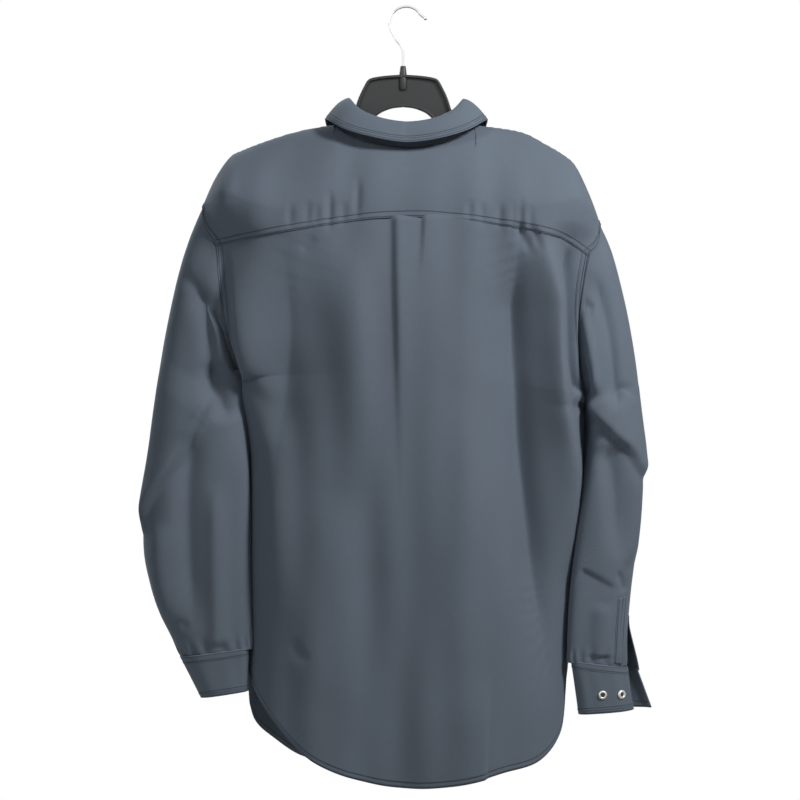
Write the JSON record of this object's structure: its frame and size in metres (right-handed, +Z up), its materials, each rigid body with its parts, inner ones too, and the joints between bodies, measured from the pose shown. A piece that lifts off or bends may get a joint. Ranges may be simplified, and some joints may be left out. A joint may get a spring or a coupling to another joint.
{
  "type": "welding shirt-jacket on hanger",
  "caption": "Long-sleeved woven cotton welding shirt-jacket with a turned-down collar, back yoke, box pleat and press studs, hanging on a moulded hanger with a swivelling wire hook.",
  "frame": {"origin": "where a rail bears, at the top inside of the hook", "axes": "+Z up, -Y the garment's front, +X the wearer's left"},
  "size_m": [0.6343, 0.2033, 0.9715],
  "materials": {
    "cotton": "matt twill weave, slate blue-grey",
    "label_tape": "woven satin tape",
    "hanger_plastic": "satin moulded",
    "hook_chrome": "bright plated",
    "stud_nickel": "bright nickel"
  },
  "bodies": {
    "hook": {"hook_wire": "hook_chrome"},
    "hanger": {"hanger_body": "hanger_plastic"},
    "torso": {"back_panel": "cotton", "back_yoke": "cotton", "yoke_lining": "cotton", "neck_label": "label_tape", "front_left": "cotton", "front_right": "cotton", "placket_right": "cotton", "placket_left": "cotton", "collar_stand": "cotton", "collar_fall": "cotton", "pocket_left": "cotton", "pocket_right": "cotton", "front_snap_1_cap": "stud_nickel", "front_snap_1_post": "stud_nickel", "front_snap_2_cap": "stud_nickel", "front_snap_2_post": "stud_nickel", "front_snap_3_cap": "stud_nickel", "front_snap_3_post": "stud_nickel", "front_snap_4_cap": "stud_nickel", "front_snap_4_post": "stud_nickel", "front_snap_5_cap": "stud_nickel", "front_snap_5_post": "stud_nickel", "front_snap_6_cap": "stud_nickel", "front_snap_6_post": "stud_nickel", "collar_snap_cap": "stud_nickel", "collar_snap_post": "stud_nickel", "pocket_snap_left_stud": "stud_nickel", "pocket_snap_right_stud": "stud_nickel"},
    "left_sleeve": {"sleeve_left": "cotton", "cuff_left": "cotton", "sleeve_vent_left": "cotton", "cuff_snap_left_cap": "stud_nickel", "cuff_snap_left_post": "stud_nickel", "cuff_snap_left_stud": "stud_nickel"},
    "right_sleeve": {"sleeve_right": "cotton", "cuff_right": "cotton", "sleeve_vent_right": "cotton", "cuff_snap_right_cap": "stud_nickel", "cuff_snap_right_stud_1": "stud_nickel", "cuff_snap_right_stud_2": "stud_nickel"},
    "left_flap": {"pocket_flap_left": "cotton", "pocket_snap_left_cap": "stud_nickel"},
    "right_flap": {"pocket_flap_right": "cotton", "pocket_snap_right_cap": "stud_nickel"}
  },
  "joints": [
    {"name": "hook_swivel", "type": "hinge", "parent": "hook", "child": "hanger", "pos_m": [0, 0, -0.09], "axis": [0, 0, 1], "continuous": true},
    {"name": "garment_lift", "type": "slide", "parent": "hanger", "child": "torso", "axis": [0, 0, 1], "range_m": [0, 0.06]},
    {"name": "left_sleeve_swing", "type": "hinge", "parent": "torso", "child": "left_sleeve", "pos_m": [0.25, 0, -0.249], "axis": [0, -1, 0], "range_deg": [0, 25]},
    {"name": "right_sleeve_swing", "type": "hinge", "parent": "torso", "child": "right_sleeve", "pos_m": [-0.246, 0, -0.271], "axis": [0, 1, 0], "range_deg": [0, 25]},
    {"name": "left_flap_lift", "type": "hinge", "parent": "torso", "child": "left_flap", "pos_m": [0.092, -0.0873, -0.3218], "axis": [-0.994, -0.109, 0], "range_deg": [0, 105]},
    {"name": "right_flap_lift", "type": "hinge", "parent": "torso", "child": "right_flap", "pos_m": [-0.112, -0.0842, -0.3218], "axis": [-0.9848, 0.174, 0], "range_deg": [0, 105]}
  ]
}
